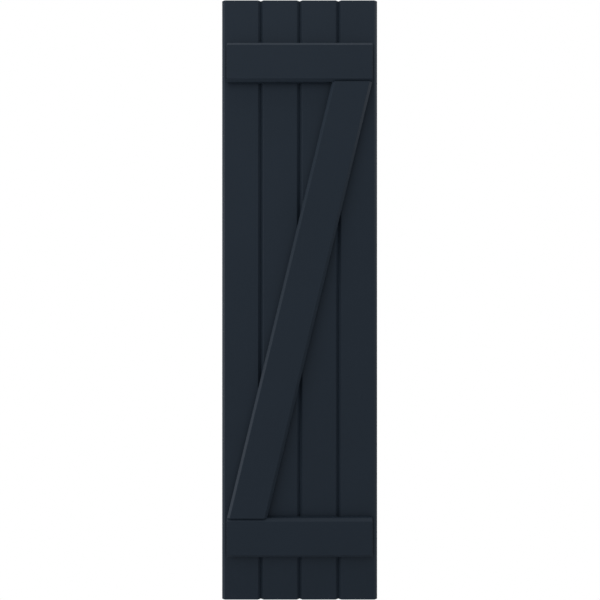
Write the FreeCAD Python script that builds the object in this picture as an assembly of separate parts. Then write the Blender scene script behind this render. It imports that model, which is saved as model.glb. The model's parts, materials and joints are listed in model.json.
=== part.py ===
import FreeCAD, Part
import math
import os

# A board and batten shutter: upright boards edge to edge, with two battens across their front and
# a diagonal brace fitted between the battens. Every piece is cut from stock whose two front edges
# are planed off at 45 degrees, so that neighbouring boards meet in a V.
# Millimetres. The origin is on the wall, at the middle of the shutter's back. +X runs to the right
# for someone facing the shutter, +Y into the wall and +Z up.

# Driving dimensions
shutter_height = 1371.6  # 54 in
board_count = 4
board_width = 88.9  # 3 1/2 in
board_thickness = 19.05  # 3/4 in
board_chamfer = 6.35  # 1/4 in
batten_width = 88.9
batten_thickness = 19.05
batten_chamfer = 6.35
batten_side_inset = 12.7  # 1/2 in
batten_end_margin = 101.6  # 4 in
brace_width = 88.9
brace_thickness = 19.05
brace_chamfer = 6.35

# The battens stop short of the shutter's sides, and stand in from its top and bottom.
shutter_width = board_count * board_width
batten_length = shutter_width - 2 * batten_side_inset
batten_height = shutter_height / 2 - batten_end_margin - batten_width / 2
clear_height = 2 * batten_height - batten_width

UP = FreeCAD.Vector(0, 0, 1)
THROUGH = FreeCAD.Vector(0, 1, 0)
MIDDLE = FreeCAD.Vector(0, 0, 0)


def stock(width, thickness, chamfer, length):
    """A length of stock upright about the origin, with its back at y = 0 and its edges chamfered in front."""
    side = width / 2
    flat = side - chamfer
    shoulder = chamfer - thickness
    outline = [
        (side, 0),
        (-side, 0),
        (-side, shoulder),
        (-flat, -thickness),
        (flat, -thickness),
        (side, shoulder),
    ]
    corners = [FreeCAD.Vector(x, y, -length / 2) for x, y in outline]
    section = Part.Face(Part.makePolygon(corners + corners[:1]))
    return section.extrude(UP * length)


def board(number):
    """One upright board, counted from 1 at the left."""
    piece = stock(board_width, board_thickness, board_chamfer, shutter_height)
    piece.translate(FreeCAD.Vector((number - 0.5) * board_width - shutter_width / 2, 0, 0))
    return piece


def batten(height):
    """A batten laid across the boards' front, with its middle at this height."""
    piece = stock(batten_width, batten_thickness, batten_chamfer, batten_length)
    piece.rotate(MIDDLE, THROUGH, 90)
    piece.translate(FreeCAD.Vector(0, -board_thickness, height))
    return piece


def diagonal_brace():
    """The brace, rising to the right, with its ends cut level to butt the battens.

    Its outer corners are flush with the battens' ends. Leaning by the angle a from upright, the
    piece takes up brace_width / cos(a) of the battens' length and climbs across the rest of it:
    batten_length * cos(a) - clear_height * sin(a) = brace_width, which is solved for a.
    """
    diagonal = math.hypot(batten_length, clear_height)
    lean = math.acos(brace_width / diagonal) - math.atan2(clear_height, batten_length)
    uncut_length = clear_height / math.cos(lean) + brace_width * math.tan(lean)
    piece = stock(brace_width, brace_thickness, brace_chamfer, uncut_length)
    piece.rotate(MIDDLE, THROUGH, math.degrees(lean))
    between_battens = Part.makeBox(shutter_width, brace_thickness, clear_height)
    between_battens.translate(FreeCAD.Vector(-shutter_width / 2, -brace_thickness, -clear_height / 2))
    piece = piece.common(between_battens).Solids[0]
    piece.translate(FreeCAD.Vector(0, -board_thickness, 0))
    return piece


pieces = {f"board_{number}": board(number) for number in range(1, board_count + 1)}
pieces["top_batten"] = batten(batten_height)
pieces["bottom_batten"] = batten(-batten_height)
pieces["diagonal_brace"] = diagonal_brace()

os.makedirs("parts", exist_ok=True)
for name, shape in pieces.items():
    shape.exportStep(f"parts/{name}.step")
    print(f"{name}: {shape.Volume / 1000:.1f} cm3")
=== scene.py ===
# %% [markdown]
# # A board and batten shutter
# Four upright boards stand edge to edge, two battens cross their front, and a brace runs between the
# battens like the stroke of a Z. Everything has one coat of dark navy satin paint. The frame that is
# loaded here holds the plain solids of those seven pieces in metres. We model each piece again with
# eased edges, drive the screws into the back, mix the paint and light it as in a studio.

# %% Load the frame
import json
import math

import bmesh
import bpy
from mathutils import Matrix, Vector

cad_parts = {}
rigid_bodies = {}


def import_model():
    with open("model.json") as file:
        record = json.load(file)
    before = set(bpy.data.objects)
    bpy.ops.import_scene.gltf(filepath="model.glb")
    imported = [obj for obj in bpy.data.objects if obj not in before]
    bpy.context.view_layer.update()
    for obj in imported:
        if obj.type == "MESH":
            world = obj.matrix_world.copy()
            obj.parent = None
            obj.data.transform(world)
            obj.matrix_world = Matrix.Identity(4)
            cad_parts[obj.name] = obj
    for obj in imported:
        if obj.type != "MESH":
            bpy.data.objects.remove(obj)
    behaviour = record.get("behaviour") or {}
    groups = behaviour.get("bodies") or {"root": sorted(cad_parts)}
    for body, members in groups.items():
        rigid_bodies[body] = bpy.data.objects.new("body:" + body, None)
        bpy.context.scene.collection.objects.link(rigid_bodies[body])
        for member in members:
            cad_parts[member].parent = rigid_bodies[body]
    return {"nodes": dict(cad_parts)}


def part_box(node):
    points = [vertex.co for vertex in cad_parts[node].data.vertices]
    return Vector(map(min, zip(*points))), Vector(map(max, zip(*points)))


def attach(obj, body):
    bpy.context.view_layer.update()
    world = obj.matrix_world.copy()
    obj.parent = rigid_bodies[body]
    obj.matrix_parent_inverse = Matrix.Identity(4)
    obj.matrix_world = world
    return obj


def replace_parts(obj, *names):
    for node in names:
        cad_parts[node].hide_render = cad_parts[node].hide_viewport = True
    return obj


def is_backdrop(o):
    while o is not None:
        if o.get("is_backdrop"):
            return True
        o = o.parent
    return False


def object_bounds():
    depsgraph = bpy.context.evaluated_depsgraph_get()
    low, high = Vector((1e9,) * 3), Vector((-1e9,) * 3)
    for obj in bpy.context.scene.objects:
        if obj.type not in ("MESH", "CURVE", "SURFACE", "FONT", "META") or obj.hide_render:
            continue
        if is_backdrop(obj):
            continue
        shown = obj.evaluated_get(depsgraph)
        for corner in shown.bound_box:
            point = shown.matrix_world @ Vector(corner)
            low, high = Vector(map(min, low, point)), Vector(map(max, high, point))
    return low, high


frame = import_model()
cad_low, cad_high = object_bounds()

BODY = "root"
print("nodes:", sorted(frame["nodes"]))
print("box in mm:", [round(1000 * side, 1) for side in cad_high - cad_low])

# %% [markdown]
# ## Reading the stock
# Boards, battens and brace are all cut from flat stock whose two front edges are planed off at 45
# degrees. How wide that chamfer is can be read from a solid: its foremost corners are the edges of
# the flat between the chamfers, so the rest of the width is two chamfers. Reading it from the frame,
# and not typing it in again, keeps every modelled piece true to the solid that it stands for.

# %% Read the boards and battens from their solids
TOUCH = 1e-5


def spread(places):
    """How far apart the lowest and the highest of these places are."""
    return max(places) - min(places)


def front_corners(node):
    """The corners of a solid that lie in its front face."""
    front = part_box(node)[0].y
    return [v.co for v in frame["nodes"][node].data.vertices if v.co.y - front < TOUCH]


board_nodes = sorted(name for name in frame["nodes"] if name.startswith("board_"))
board_low, board_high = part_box(board_nodes[0])
board_width = board_high.x - board_low.x
board_chamfer = (board_width - spread([corner.x for corner in front_corners(board_nodes[0])])) / 2

batten_low, batten_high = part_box("top_batten")
batten_width = batten_high.z - batten_low.z
batten_chamfer = (batten_width - spread([corner.z for corner in front_corners("top_batten")])) / 2
print(f"{len(board_nodes)} boards {1000 * board_width:.1f} mm wide, chamfer {1000 * board_chamfer:.2f} mm")
print(f"battens {1000 * batten_width:.1f} mm wide, chamfer {1000 * batten_chamfer:.2f} mm")

# %% [markdown]
# ## Working by hand, in code
# Blender's operators act on whatever is selected, so every step first selects nothing, and then
# exactly what it needs. These helpers do what a hand does with the mouse: put down a block at its
# size and place, copy a piece and move the copy, pick edges by where they are, apply a modifier.

# %% Placing and copying pieces
def only(piece):
    """Selects this object alone and makes it the active one."""
    bpy.ops.object.select_all(action="DESELECT")
    piece.select_set(True)
    bpy.context.view_layer.objects.active = piece


def settle(name):
    """Names the active object and moves its place, turn and size into its mesh."""
    piece = bpy.context.object
    piece.name = name
    piece.data.name = name
    bpy.ops.object.transform_apply(location=True, rotation=True, scale=True)
    return piece


def block(name, low, high):
    """A cube primitive between two corners."""
    bpy.ops.object.select_all(action="DESELECT")
    bpy.ops.mesh.primitive_cube_add(size=1, location=(low + high) / 2, scale=high - low)
    return settle(name)


def copy_of(piece, name, shift):
    """A copy of a piece with a mesh of its own, moved by a vector."""
    only(piece)
    bpy.ops.object.duplicate(linked=False)
    bpy.ops.transform.translate(value=shift)
    return settle(name)


print("ready to place blocks and copies")

# %% Picking edges and applying modifiers
def open_to_pick(piece, kind):
    """Enters edit mode with nothing selected, to pick edges or faces of the mesh that it returns."""
    only(piece)
    bpy.ops.object.mode_set(mode="EDIT")
    bpy.ops.mesh.select_mode(type=kind)
    bpy.ops.mesh.select_all(action="DESELECT")
    return bmesh.from_edit_mesh(piece.data)


def pick_edges(piece, wanted):
    """Selects, in edit mode, only the edges whose two ends pass the test."""
    mesh = open_to_pick(piece, "EDGE")
    for edge in mesh.edges:
        edge.select_set(wanted(edge.verts[0].co, edge.verts[1].co))
    bmesh.update_edit_mesh(piece.data)


def apply_modifier(piece, kind, **settings):
    """Adds a modifier with these settings and applies it to the mesh."""
    only(piece)
    bpy.ops.object.modifier_add(type=kind)
    modifier = piece.modifiers[-1]
    for name, value in settings.items():
        setattr(modifier, name, value)
    bpy.ops.object.modifier_apply(modifier=modifier.name)


print("ready to pick edges and apply modifiers")

# %% [markdown]
# ## Chamfered stock
# A planed chamfer could come from a Bevel modifier on the whole block, but that would bevel the sawn
# ends too, and on the real stock only the two long front edges are planed. So we select those two
# edges and use the bevel operator with one segment, which cuts a flat 45 degree chamfer.
#
# Sanding and paint then ease every open arris, the sharp line where two faces meet, to a fine round,
# and that round is what catches a line of light. The back edges of the boards come eased from the
# mill, with a larger round. Where two pieces are glued and painted over, the paint closes the joint
# instead, so an arris in a joint stays sharp: rounding it would open a black slit along every V. One
# Bevel modifier can do all three, because an edge's bevel weight says what share of the width it gets.

# %% Plane the front edges and ease the arrises
SANDED = 0.0007
MILLED = 0.0015
SHARP = 0
ARRIS_STEPS = 3
ALIGNED = 0.99
LEVEL_AXIS = 0
UPRIGHT_AXIS = 2


def plane_front_edges(piece, along, chamfer):
    """Chamfers the two front edges of a block that run along one axis."""
    front = min(v.co.y for v in piece.data.vertices)

    def long_front_edge(a, b):
        in_front = a.y - front < TOUCH and b.y - front < TOUCH
        return in_front and abs((b - a).normalized()[along]) > ALIGNED

    pick_edges(piece, long_front_edge)
    bpy.ops.mesh.bevel(offset_type="OFFSET", offset=chamfer, segments=1, affect="EDGES")
    bpy.ops.object.mode_set(mode="OBJECT")


def ease_arrises(piece, radius_at):
    """Rounds every edge by the radius that a rule gives for the places of its two ends."""
    weights = piece.data.attributes.new("bevel_weight_edge", "FLOAT", "EDGE")
    for edge, weight in zip(piece.data.edges, weights.data):
        first, second = (piece.data.vertices[corner].co for corner in edge.vertices)
        weight.value = radius_at(first, second) / MILLED
    apply_modifier(piece, "BEVEL", width=MILLED, segments=ARRIS_STEPS, limit_method="WEIGHT")


def lies_at(depth, first, second):
    """Whether an edge with these ends lies in the plane at one depth."""
    return abs(first.y - depth) < TOUCH and abs(second.y - depth) < TOUCH


print(f"arrises sanded to {1000 * SANDED:.1f} mm, back edges of boards milled to {1000 * MILLED:.1f} mm")

# %% [markdown]
# ## The boards
# The four boards are equal, so one is planed and eased, and three copies are set beside it. Each copy
# has a mesh of its own, because screw holes will be bored in different places. Neighbouring chamfers
# meet in the V that gives this kind of shutter its upright lines. Each board then rides on the body
# that it belongs to, and replaces its plain solid, which stays in the frame but no longer shows.

# %% The four boards
foot_of_v = board_low.y + board_chamfer


def board_arris(first, second):
    """How far an edge of a board is rounded."""
    if lies_at(foot_of_v, first, second):
        return SHARP
    if lies_at(board_high.y, first, second) and abs(second.z - first.z) > TOUCH:
        return MILLED
    return SANDED


first_board = block(f"painted_{board_nodes[0]}", board_low, board_high)
plane_front_edges(first_board, UPRIGHT_AXIS, board_chamfer)
ease_arrises(first_board, board_arris)

boards = [first_board]
for node in board_nodes[1:]:
    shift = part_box(node)[0] - board_low
    boards.append(copy_of(first_board, f"painted_{node}", shift))
for board, node in zip(boards, board_nodes):
    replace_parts(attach(board, BODY), node)
print("boards:", [(board.name, len(board.data.polygons)) for board in boards])

# %% [markdown]
# ## The battens
# A batten is the same stock laid across the boards. It stops a little short of the shutter's sides,
# so that its square ends show as a small step. Its back is glued to the boards, so the edges that lie
# on them stay sharp.

# %% The two battens
def laid_on_arris(first, second):
    """How far an edge of a piece that is glued to the boards is rounded."""
    return SHARP if lies_at(board_low.y, first, second) else SANDED


top_batten = block("painted_top_batten", batten_low, batten_high)
plane_front_edges(top_batten, LEVEL_AXIS, batten_chamfer)
ease_arrises(top_batten, laid_on_arris)

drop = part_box("bottom_batten")[0] - batten_low
bottom_batten = copy_of(top_batten, "painted_bottom_batten", drop)
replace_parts(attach(top_batten, BODY), "top_batten")
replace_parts(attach(bottom_batten, BODY), "bottom_batten")
print(f"battens {1000 * -drop.z:.1f} mm apart,", len(top_batten.data.polygons), "faces each")

# %% [markdown]
# ## The brace
# A carpenter lays the brace over the gap between the battens and scribes its ends level. We do the
# same: an upright length of stock is planed, leant over, and bisected at the two battens' inner
# edges. The solid tells how far it leans, since its left edge moves sideways from the bottom end to
# the top end, and how wide the stock is, since a leaning piece is wider along the level cut.

# %% Measure the brace
brace_low, brace_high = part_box("diagonal_brace")
brace_corners = [v.co for v in frame["nodes"]["diagonal_brace"].data.vertices]
top_cut = [corner.x for corner in brace_corners if brace_high.z - corner.z < TOUCH]
bottom_cut = [corner.x for corner in brace_corners if corner.z - brace_low.z < TOUCH]
top_flat = [corner.x for corner in front_corners("diagonal_brace") if brace_high.z - corner.z < TOUCH]
brace_rise = brace_high.z - brace_low.z
brace_lean = math.atan2(min(top_cut) - min(bottom_cut), brace_rise)
brace_width = spread(top_cut) * math.cos(brace_lean)
brace_chamfer = (spread(top_cut) - spread(top_flat)) * math.cos(brace_lean) / 2
print(f"brace leans {math.degrees(brace_lean):.2f} degrees, {1000 * brace_width:.1f} mm wide,")
print(f"chamfer {1000 * brace_chamfer:.2f} mm")

# %% The diagonal brace
brace_middle = (brace_low + brace_high) / 2
uncut_length = brace_rise / math.cos(brace_lean) + 2 * brace_width * math.tan(brace_lean)
uncut_half = Vector((brace_width, brace_high.y - brace_low.y, uncut_length)) / 2
brace = block("painted_diagonal_brace", brace_middle - uncut_half, brace_middle + uncut_half)
plane_front_edges(brace, UPRIGHT_AXIS, brace_chamfer)

only(brace)
bpy.ops.transform.rotate(value=-brace_lean, orient_axis="Y", center_override=brace_middle)
bpy.ops.object.transform_apply(location=True, rotation=True, scale=True)
bpy.ops.object.mode_set(mode="EDIT")
for level, outward in ((brace_high.z, 1), (brace_low.z, -1)):
    bpy.ops.mesh.select_all(action="SELECT")
    bpy.ops.mesh.bisect(plane_co=(0, 0, level), plane_no=(0, 0, outward), use_fill=True, clear_outer=True)
bpy.ops.object.mode_set(mode="OBJECT")
ease_arrises(brace, laid_on_arris)
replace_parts(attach(brace, BODY), "diagonal_brace")

tip_loss = (brace_high.x - brace_low.x - brace.dimensions.x) / 2
print(f"brace has {len(brace.data.polygons)} faces, easing takes {1000 * tip_loss:.2f} mm off each tip")

# %% [markdown]
# ## Where the screws go
# The front shows no fastener, so battens and brace are held from behind, by flat-head screws through
# the boards. Two go in where each board crosses a batten, set on a slant so that the batten isn't
# bored along one line and can't split there. Six follow the middle of the brace, half a board apart.

# %% Mark the screw places
SCREW_SLANT = 0.016

screw_places = []
for node in ("top_batten", "bottom_batten"):
    level = sum(corner.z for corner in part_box(node)) / 2
    for board_node in board_nodes:
        middle = sum(corner.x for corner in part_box(board_node)) / 2
        for side in (-1, 1):
            across = middle + side * board_width / 4
            screw_places.append(Vector((across, 0, level + side * SCREW_SLANT)))
for step in (-2.5, -1.5, -0.5, 0.5, 1.5, 2.5):
    sideways = step * board_width / 2
    upward = sideways / math.tan(brace_lean)
    screw_places.append(Vector((brace_middle.x + sideways, 0, brace_middle.z + upward)))
print(len(screw_places), "screws")

# %% [markdown]
# ## Boring for the screws
# A screw hole is a straight bore with a countersink, an 82 degree cone in which the head sinks just
# below the back. We could cut every hole by hand, but a drill bit is quicker: one round solid in the
# shape of the hole, drawn out ring by ring from a short cylinder, is copied to every place and joined,
# and one Boolean modifier per piece takes it away. It runs through the boards and into battens and
# brace. At its mouth it stands out of the back by a run-out, because two faces in one plane are what a
# Boolean can't tell apart.

# %% Drawing out a round solid, ring by ring
ROUND_STEPS = 32


def pick_faces(piece, wanted):
    """Selects, in edit mode, only the faces whose normal passes the test."""
    mesh = open_to_pick(piece, "FACE")
    for face in mesh.faces:
        face.select_set(wanted(face.normal))
    bmesh.update_edit_mesh(piece.data)


def turned(name, rings):
    """A round solid about the Y axis, through rings given as depth in front of the wall and radius."""
    (first_depth, first_radius), (second_depth, second_radius) = rings[:2]
    bpy.ops.object.select_all(action="DESELECT")
    bpy.ops.mesh.primitive_cylinder_add(
        vertices=ROUND_STEPS,
        radius=first_radius,
        depth=second_depth - first_depth,
        location=(0, -(first_depth + second_depth) / 2, 0),
        rotation=(math.pi / 2, 0, 0),
    )
    piece = settle(name)
    pick_faces(piece, lambda normal: normal.y < -ALIGNED)
    ratio = second_radius / first_radius
    bpy.ops.transform.resize(value=(ratio, 1, ratio), center_override=(0, -second_depth, 0))
    for (depth, radius), (next_depth, next_radius) in zip(rings[1:], rings[2:]):
        step = (0, depth - next_depth, 0)
        bpy.ops.mesh.extrude_region_move(TRANSFORM_OT_translate={"value": step})
        ratio = next_radius / radius
        bpy.ops.transform.resize(value=(ratio, 1, ratio), center_override=(0, -next_depth, 0))
    bpy.ops.object.mode_set(mode="OBJECT")
    return piece


print("round solids have", ROUND_STEPS, "sides")

# %% A drill bit
HEAD_RADIUS = 0.0042
HEAD_RIM = 0.0003
HEAD_SUNK = 0.0003
SHANK_RADIUS = 0.0021
SCREW_LENGTH = 0.0318
CONE_SLOPE = math.tan(math.radians(82) / 2)
PLAY = 0.0001
RUN_OUT = 0.001

bore_radius = SHANK_RADIUS + PLAY
mouth_radius = HEAD_RADIUS + (HEAD_SUNK + HEAD_RIM) * CONE_SLOPE + PLAY
cone_depth = (mouth_radius - bore_radius) / CONE_SLOPE
drill_bit = turned("drill_bit", [
    (-RUN_OUT, mouth_radius + RUN_OUT * CONE_SLOPE),
    (cone_depth, bore_radius),
    (HEAD_SUNK + SCREW_LENGTH + PLAY, bore_radius),
])
print(f"countersink {2000 * mouth_radius:.1f} mm wide and {1000 * cone_depth:.1f} mm deep")

# %% Bore the holes
for number, place in enumerate(screw_places, 1):
    copy_of(drill_bit, f"drill_bit_{number}", place)
bpy.data.objects.remove(drill_bit)
bits = [piece for piece in bpy.data.objects if piece.name.startswith("drill_bit_")]
only(bits[0])
for bit in bits:
    bit.select_set(True)
bpy.ops.object.join()
bores = bpy.context.object

painted_pieces = [*boards, top_batten, bottom_batten, brace]
for piece in painted_pieces:
    apply_modifier(piece, "BOOLEAN", operation="DIFFERENCE", solver="EXACT", object=bores)
bpy.data.objects.remove(bores)
print("bored:", [(piece.name, len(piece.data.polygons)) for piece in painted_pieces])

# %% [markdown]
# ## A flat-head screw
# The head is a thin rim over a cone, with a square recess for the driver. It is drawn out ring by
# ring like the drill bit. The recess has flat walls, which a round solid can't give, so a small block
# cuts it. The rim is rounded a little, because a turned head has no knife edge.

# %% One screw
TIP_LENGTH = 3 * SHANK_RADIUS
TIP_RADIUS = SHANK_RADIUS / 4
RIM_ROUND = 0.00012
RECESS_SIDE = 0.003
RECESS_DEPTH = 0.0021

rim_depth = HEAD_SUNK + HEAD_RIM
neck_depth = rim_depth + (HEAD_RADIUS - SHANK_RADIUS) / CONE_SLOPE
tip_depth = HEAD_SUNK + SCREW_LENGTH
screw = turned("pattern_screw", [
    (HEAD_SUNK, HEAD_RADIUS),
    (rim_depth, HEAD_RADIUS),
    (neck_depth, SHANK_RADIUS),
    (tip_depth - TIP_LENGTH, SHANK_RADIUS),
    (tip_depth, TIP_RADIUS),
])
pick_edges(screw, lambda a, b: a.y > -HEAD_SUNK - TOUCH and b.y > -HEAD_SUNK - TOUCH)
bpy.ops.mesh.bevel(offset_type="OFFSET", offset=RIM_ROUND, segments=2, affect="EDGES")
bpy.ops.object.mode_set(mode="OBJECT")

recess_low = Vector((-RECESS_SIDE / 2, -HEAD_SUNK - RECESS_DEPTH, -RECESS_SIDE / 2))
recess_high = Vector((RECESS_SIDE / 2, 0, RECESS_SIDE / 2))
recess = block("driver_recess", recess_low, recess_high)
apply_modifier(screw, "BOOLEAN", operation="DIFFERENCE", solver="EXACT", object=recess)
bpy.data.objects.remove(recess)
print("screw:", len(screw.data.polygons), "faces,", f"{2000 * HEAD_RADIUS:.1f} mm head")

# %% [markdown]
# ## Shading
# Smooth shading would bend the light over the flats, and flat shading would show every step of the
# eased arrises. So edges sharper than an angle stay hard, and the Weighted Normal modifier gives
# every corner the normal of its largest face. Then the flats look flat and the rounds look round.

# %% Shade the painted pieces and the screw
SMOOTH_ANGLE = math.radians(35)


def shade(piece):
    """Smooth shading over the rounds, with each normal weighted towards the largest face."""
    only(piece)
    bpy.ops.object.shade_smooth_by_angle(angle=SMOOTH_ANGLE)
    apply_modifier(piece, "WEIGHTED_NORMAL", keep_sharp=True)


for piece in painted_pieces:
    shade(piece)
shade(screw)
print("shaded", len(painted_pieces), "painted pieces and the screw")

# %% [markdown]
# ## Driving the screws
# Every copy is turned by another angle, because screws driven by hand never stop alike. Steps of the
# golden angle, about 137.5 degrees, never repeat and need no random numbers. With no window open, the
# rotate operator needs the point to turn about, here the screw's own place.

# %% Drive the screws
GOLDEN_ANGLE = math.pi * (3 - math.sqrt(5))

screws = []
for number, place in enumerate(screw_places, 1):
    copy = copy_of(screw, f"back_screw_{number:02d}", place)
    bpy.ops.transform.rotate(value=number * GOLDEN_ANGLE, orient_axis="Y", center_override=place)
    bpy.ops.object.transform_apply(location=True, rotation=True, scale=True)
    screws.append(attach(copy, BODY))
bpy.data.objects.remove(screw)
print(len(screws), "screws driven")

# %% [markdown]
# ## Which way the stock runs
# Rollers and brushes draw paint along a piece, so its faint marks run up the boards, along the
# battens and up the leaning brace. Object coordinates can't tell these apart. An attribute can: it
# keeps, for every corner, the place across, through and along its own piece, and a texture that reads
# it follows the stock. A different start for each piece keeps neighbours from sharing one pattern.

# %% Mark the way of the stock
UPRIGHT = Matrix.Identity(3)
LEVEL = Matrix.Rotation(math.pi / 2, 3, "Y")
LEANING = Matrix.Rotation(-brace_lean, 3, "Y")
NEXT_PIECE = Vector((0.37, 0.11, 0.53))


def mark_stock(piece, turn, start):
    """Keeps each corner's place across, through and along the stock as an attribute."""
    attribute = piece.data.attributes.new("stock_place", "FLOAT_VECTOR", "POINT")
    places = [turn @ v.co + start for v in piece.data.vertices]
    attribute.data.foreach_set("vector", [value for place in places for value in place])


turns = [*[UPRIGHT] * len(boards), LEVEL, LEVEL, LEANING]
for number, (piece, turn) in enumerate(zip(painted_pieces, turns)):
    mark_stock(piece, turn, number * NEXT_PIECE)
along = [corner.vector.z for corner in brace.data.attributes["stock_place"].data]
print(f"the brace runs {1000 * spread(along):.0f} mm along its stock")

# %% [markdown]
# ## Wiring a material
# A material is a tree of nodes: textures make numbers from a place, and the Principled shader makes
# paint or steel of them. By hand every link is a drag of the mouse. In code a node gets all its inputs
# in one go, by name or number, and each is either a plain value or the output of another node.

# %% Tools for node trees
def new_material(name):
    """A material with its node tree and its Principled shader."""
    material = bpy.data.materials.new(name)
    material.use_nodes = True
    return material, material.node_tree, material.node_tree.nodes["Principled BSDF"]


def feed(tree, node, inputs):
    """Gives inputs of a node, by name or number, their values or links."""
    for key, value in inputs.items():
        if isinstance(value, bpy.types.NodeSocket):
            tree.links.new(value, node.inputs[key])
        else:
            node.inputs[key].default_value = value


def add_node(tree, kind, inputs=None, **settings):
    """Adds a node with these settings and inputs."""
    node = tree.nodes.new(kind)
    for name, value in settings.items():
        setattr(node, name, value)
    feed(tree, node, inputs or {})
    return node


def finish_with(pieces, material):
    """Makes this the only material of these pieces."""
    for piece in pieces:
        piece.data.materials.clear()
        piece.data.materials.append(material)


print("ready to build node trees")

# %% Tools for textures
NOISE_LOW = 0.3
NOISE_HIGH = 0.7


def noise(tree, vector, scale, detail):
    """A noise of so many bumps to the metre, as a number about one half."""
    inputs = {"Vector": vector, "Scale": scale, "Detail": detail}
    return add_node(tree, "ShaderNodeTexNoise", inputs).outputs["Fac"]


def stretch(tree, value, low, high):
    """Takes the middle of a noise, where nearly all of it lies, to the range from low to high."""
    inputs = {"Value": value, "From Min": NOISE_LOW, "From Max": NOISE_HIGH, "To Min": low, "To Max": high}
    return add_node(tree, "ShaderNodeMapRange", inputs).outputs["Result"]


def blend_colours(tree, share, first, second):
    """A colour between two, by a share from 0 to 1."""
    inputs = {"Factor": share, "A": (*first, 1), "B": (*second, 1)}
    return add_node(tree, "ShaderNodeMix", inputs, data_type="RGBA").outputs["Result"]


def relief(tree, height, depth, under=None):
    """The normal of a surface with a fine relief, laid over another relief if one is given."""
    inputs = {"Distance": depth, "Height": height}
    if under:
        inputs["Normal"] = under
    return add_node(tree, "ShaderNodeBump", inputs).outputs["Normal"]


print("ready to lay textures")

# %% [markdown]
# ## Navy satin paint
# The paint is nearly black blue, and only a low sheen tells it from matt. What a flat colour lacks is
# what a coat of paint always has: a tone that drifts a little, faint marks along the piece from
# laying it on, and the fine pebbled surface called orange peel. Each is one Noise Texture. The marks
# are a noise squeezed across the stock and stretched along it. Tone and roughness stay within a few
# percent, and the relief within a tenth of a millimetre: it shows up close, where the light rakes
# along a board, and from two steps away the coat is plain.

# %% The paint
LOW_SHEEN = 0.06
NAVY_DEEP = (0.0117, 0.0175, 0.0255)
NAVY_FULL = (0.0127, 0.0189, 0.0277)
DRIFTS_PER_METRE = 7
MARKS_PER_METRE = 650
PEEL_PER_METRE = 900
MARK_DRAW = 0.03
MARK_SHARE = 0.4
MARK_RELIEF = 1.5e-4
PEEL_RELIEF = 7e-5
PAINT_ROUGHNESS = (0.46, 0.54)

paint, tree, shader = new_material("navy_paint")
place = add_node(tree, "ShaderNodeTexCoord").outputs["Object"]
stock_place = add_node(tree, "ShaderNodeAttribute", attribute_name="stock_place").outputs["Vector"]
drawing = {"Vector": stock_place, "Scale": (1, 1, MARK_DRAW)}
drawn_out = add_node(tree, "ShaderNodeMapping", drawing).outputs["Vector"]

drift = noise(tree, place, DRIFTS_PER_METRE, 2)
marks = noise(tree, drawn_out, MARKS_PER_METRE, 3)
peel = noise(tree, place, PEEL_PER_METRE, 2)
mixing = {"Factor": MARK_SHARE, "A": drift, "B": marks}
tone = add_node(tree, "ShaderNodeMix", mixing).outputs["Result"]

marks_relief = relief(tree, marks, MARK_RELIEF)
feed(tree, shader, {
    "Base Color": blend_colours(tree, stretch(tree, tone, 0, 1), NAVY_DEEP, NAVY_FULL),
    "Roughness": stretch(tree, drift, *PAINT_ROUGHNESS),
    "Specular IOR Level": LOW_SHEEN,
    "Normal": relief(tree, peel, PEEL_RELIEF, marks_relief),
})
finish_with(painted_pieces, paint)
print("painted", len(painted_pieces), "pieces with", len(tree.nodes), "nodes")

# %% [markdown]
# ## Plated steel
# Screws for outdoor work are plated, which leaves a grey that is neither bright nor even. A metal's
# look is nearly all reflection, so the colour only tints it: soft blotches of the plating shift the
# grey, and a fine noise roughens it where the driver has scuffed the head.

# %% The steel
GREY_DULL = (0.24, 0.24, 0.235)
GREY_CLEAN = (0.40, 0.40, 0.39)
BLOTCHES_PER_METRE = 350
SCUFFS_PER_METRE = 1600
SCUFF_RELIEF = 2e-5
STEEL_ROUGHNESS = (0.32, 0.52)

steel, tree, shader = new_material("screw_steel")
place = add_node(tree, "ShaderNodeTexCoord").outputs["Object"]
blotches = noise(tree, place, BLOTCHES_PER_METRE, 2)
scuffs = noise(tree, place, SCUFFS_PER_METRE, 4)
feed(tree, shader, {
    "Base Color": blend_colours(tree, stretch(tree, blotches, 0, 1), GREY_DULL, GREY_CLEAN),
    "Metallic": 1,
    "Roughness": stretch(tree, scuffs, *STEEL_ROUGHNESS),
    "Normal": relief(tree, scuffs, SCUFF_RELIEF),
})
finish_with(screws, steel)
print("steel on", len(screws), "screws with", len(tree.nodes), "nodes")

# %% [markdown]
# ## A pale floor
# The floor lies a little below the shutter and keeps its soft shadow. A floor with an edge would draw
# a line across every view, so it is a disc that fades out: a spherical gradient, 1 in the middle and 0
# at the rim, mixes the pale surface with a Transparent shader. From the front the frame ends at the
# shutter's foot, so behind the shutter the disc is cut off where it would come into that view, and a
# second fade, along the depth, softens the cut.

# %% The floor
FLOOR_LEVEL = -0.74
FLOOR_MIDDLE = -0.15
FLOOR_REACH = (1.2, 0.95, 1.0)
FLOOR_SIDES = 96
REAR_CUT = 0.12

bpy.ops.object.select_all(action="DESELECT")
floor_place = (0, FLOOR_MIDDLE, FLOOR_LEVEL)
bpy.ops.mesh.primitive_circle_add(vertices=FLOOR_SIDES, radius=1, fill_type="NGON", location=floor_place)
floor = bpy.context.object
floor.scale = FLOOR_REACH
settle("pale_floor")
bpy.ops.object.mode_set(mode="EDIT")
bpy.ops.mesh.select_all(action="SELECT")
bpy.ops.mesh.bisect(plane_co=(0, REAR_CUT, 0), plane_no=(0, 1, 0), clear_outer=True)
bpy.ops.object.mode_set(mode="OBJECT")
floor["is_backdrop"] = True
print(f"floor {1000 * (cad_low.z - FLOOR_LEVEL):.0f} mm below the shutter")

# %% The floor's paint
FLOOR_PALE = (0.64, 0.64, 0.64)
FADE_FULL = 0.85
REAR_FULL = -0.03


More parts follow.
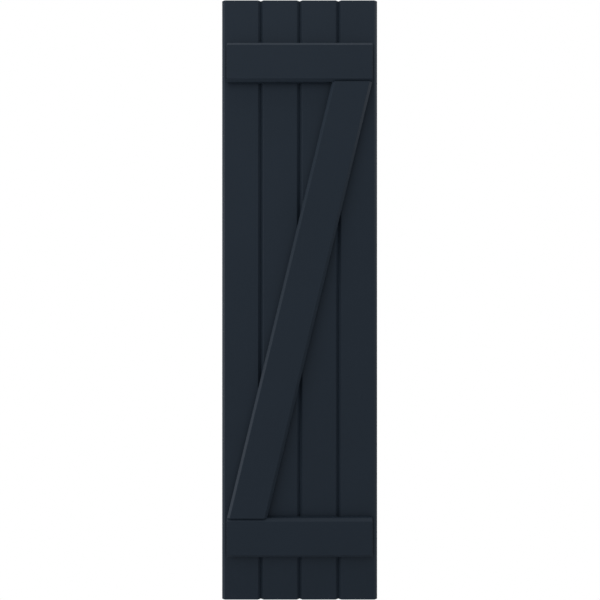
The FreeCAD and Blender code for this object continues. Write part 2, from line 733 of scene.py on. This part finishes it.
def smooth_fade(tree, value, none, full):
    """0 where the value is none, 1 where it is full, with a smooth change between them."""
    inputs = {"Value": value, "From Min": none, "From Max": full}
    return add_node(tree, "ShaderNodeMapRange", inputs, interpolation_type="SMOOTHSTEP").outputs["Result"]


pale, tree, shader = new_material("pale_floor")
feed(tree, shader, {"Base Color": (*FLOOR_PALE, 1), "Roughness": 1, "Specular IOR Level": 0})
place = add_node(tree, "ShaderNodeTexCoord").outputs["Object"]
disc = {"Vector": place, "Location": floor_place, "Scale": FLOOR_REACH}
on_disc = add_node(tree, "ShaderNodeMapping", disc, vector_type="TEXTURE").outputs["Vector"]
gradient = add_node(tree, "ShaderNodeTexGradient", {"Vector": on_disc}, gradient_type="SPHERICAL")
depth = add_node(tree, "ShaderNodeSeparateXYZ", {"Vector": place}).outputs["Y"]
outward = smooth_fade(tree, gradient.outputs["Fac"], 0, FADE_FULL)
rearward = smooth_fade(tree, depth, REAR_CUT, REAR_FULL)
cover = add_node(tree, "ShaderNodeMath", {0: outward, 1: rearward}, operation="MULTIPLY").outputs["Value"]
clear = add_node(tree, "ShaderNodeBsdfTransparent").outputs["BSDF"]
faded = add_node(tree, "ShaderNodeMixShader", {0: cover, 1: clear, 2: shader.outputs["BSDF"]})
feed(tree, tree.nodes["Material Output"], {"Surface": faded.outputs["Shader"]})
finish_with([floor], pale)
print("the pale floor has", len(tree.nodes), "nodes")

# %% [markdown]
# ## A white studio
# The shutter is shown on plain white, as in a catalogue. If the world were simply white, the background
# would also pour all its light on the paint. The Light Path node tells the two apart: rays from the
# camera, and those that a glossy or a clear surface sends on, meet pure white. The rays that light a
# surface meet a lower level, which stands for what the studio's walls throw back. The Standard view
# transform then shows every colour as it is written.

# %% The world
AMBIENT = 0.824
WHITE = (1, 1, 1, 1)

world = bpy.data.worlds.new("studio")
bpy.context.scene.world = world
world.use_nodes = True
tree = world.node_tree
tree.nodes.clear()

rays = add_node(tree, "ShaderNodeLightPath").outputs
seen = rays["Is Camera Ray"]
for kind in ("Is Glossy Ray", "Is Transmission Ray"):
    either = {0: seen, 1: rays[kind]}
    seen = add_node(tree, "ShaderNodeMath", either, operation="MAXIMUM").outputs["Value"]
walls = add_node(tree, "ShaderNodeBackground", {"Color": WHITE, "Strength": AMBIENT})
white = add_node(tree, "ShaderNodeBackground", {"Color": WHITE, "Strength": 1})
levels = {0: seen, 1: walls.outputs["Background"], 2: white.outputs["Background"]}
studio = add_node(tree, "ShaderNodeMixShader", levels)
add_node(tree, "ShaderNodeOutputWorld", {"Surface": studio.outputs["Shader"]})
bpy.context.scene.view_settings.view_transform = "Standard"
print(f"white background, walls at {AMBIENT}")

# %% [markdown]
# ## Soft lamps
# Dark satin shows its shape by what it mirrors. A chamfer turned 45 degrees to the left mirrors what
# stands far to the left, level with the wall, and one turned up mirrors what hangs overhead. So each
# side that shines in the photograph has a strip lamp there: a strong one left, one above, and a weaker
# one high on the right. Two wide keys in front, left and above, let the flat faces fall off slowly
# from the top left to the bottom right.

# %% The lamps
def softbox(name, place, target, size, power):
    """A rectangular area lamp at one place, aimed at another."""
    aim = Vector(target) - Vector(place)
    bpy.ops.object.light_add(type="AREA", location=place)
    lamp = bpy.context.object
    lamp.name = name
    lamp.rotation_euler = aim.to_track_quat("-Z", "Y").to_euler()
    lamp.data.shape = "RECTANGLE"
    lamp.data.size, lamp.data.size_y = size
    lamp.data.energy = power
    print(f"{name}: {power} W, {aim.length:.1f} m away")


softbox("left_strip", (-2.2, 0, 0), (0, 0, 0), (0.9, 1.6), 26)
softbox("left_key", (-1.9, -1.4, 0.6), (0, 0, 0), (1.2, 1.2), 14.8)
softbox("top_strip", (0, -0.3, 2.4), (0, 0, 0), (1.6, 0.8), 24.3)
softbox("top_key", (0, -1.6, 2.0), (0, 0, 0), (1.6, 1.0), 5.2)
softbox("right_strip", (2.2, 0.3, 0.95), (0, 0, 0.45), (0.9, 1.2), 11.5)

# %% [markdown]
# ## The camera
# The photograph is taken straight on, from the height of the shutter's middle, and the shutter fills
# its frame from top to bottom. The battens stand nearer to the lens than the boards, so they come out
# a little larger, and how much larger tells the distance: about 1.8 m. The lens follows from it, as
# the focal length at which the shutter's height takes up its share of a 600 pixel frame. The shutter is
# a little left of the frame's middle, by less than half a pixel, so the camera stands that much right.

# %% The camera
PHOTO_SIDE = 600
SHUTTER_PIXELS = 599.6
CAMERA_DISTANCE = 1.8
CAMERA_SIDE_STEP = 0.00085
SENSOR = 36

eye = (CAMERA_SIDE_STEP, board_low.y - CAMERA_DISTANCE, 0)
bpy.ops.object.camera_add(location=eye, rotation=(math.pi / 2, 0, 0))
camera = bpy.context.object
camera.name = "photo_camera"
camera.data.sensor_width = SENSOR
view_height = (cad_high.z - cad_low.z) * PHOTO_SIDE / SHUTTER_PIXELS
camera.data.lens = SENSOR * CAMERA_DISTANCE / view_height
bpy.context.scene.camera = camera
print(f"lens {camera.data.lens:.1f} mm at {CAMERA_DISTANCE} m")

# %% [markdown]
# ## Sizes
# The model must stay as large as the solids that it stands for, since other parts are fitted to those.

# %% Compare the boxes and finish
new_low, new_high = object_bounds()
proud = max(*(cad_low - new_low), *(new_high - cad_high))
print(f"the model stands out of the solids' box by {1000 * proud:.3f} mm")
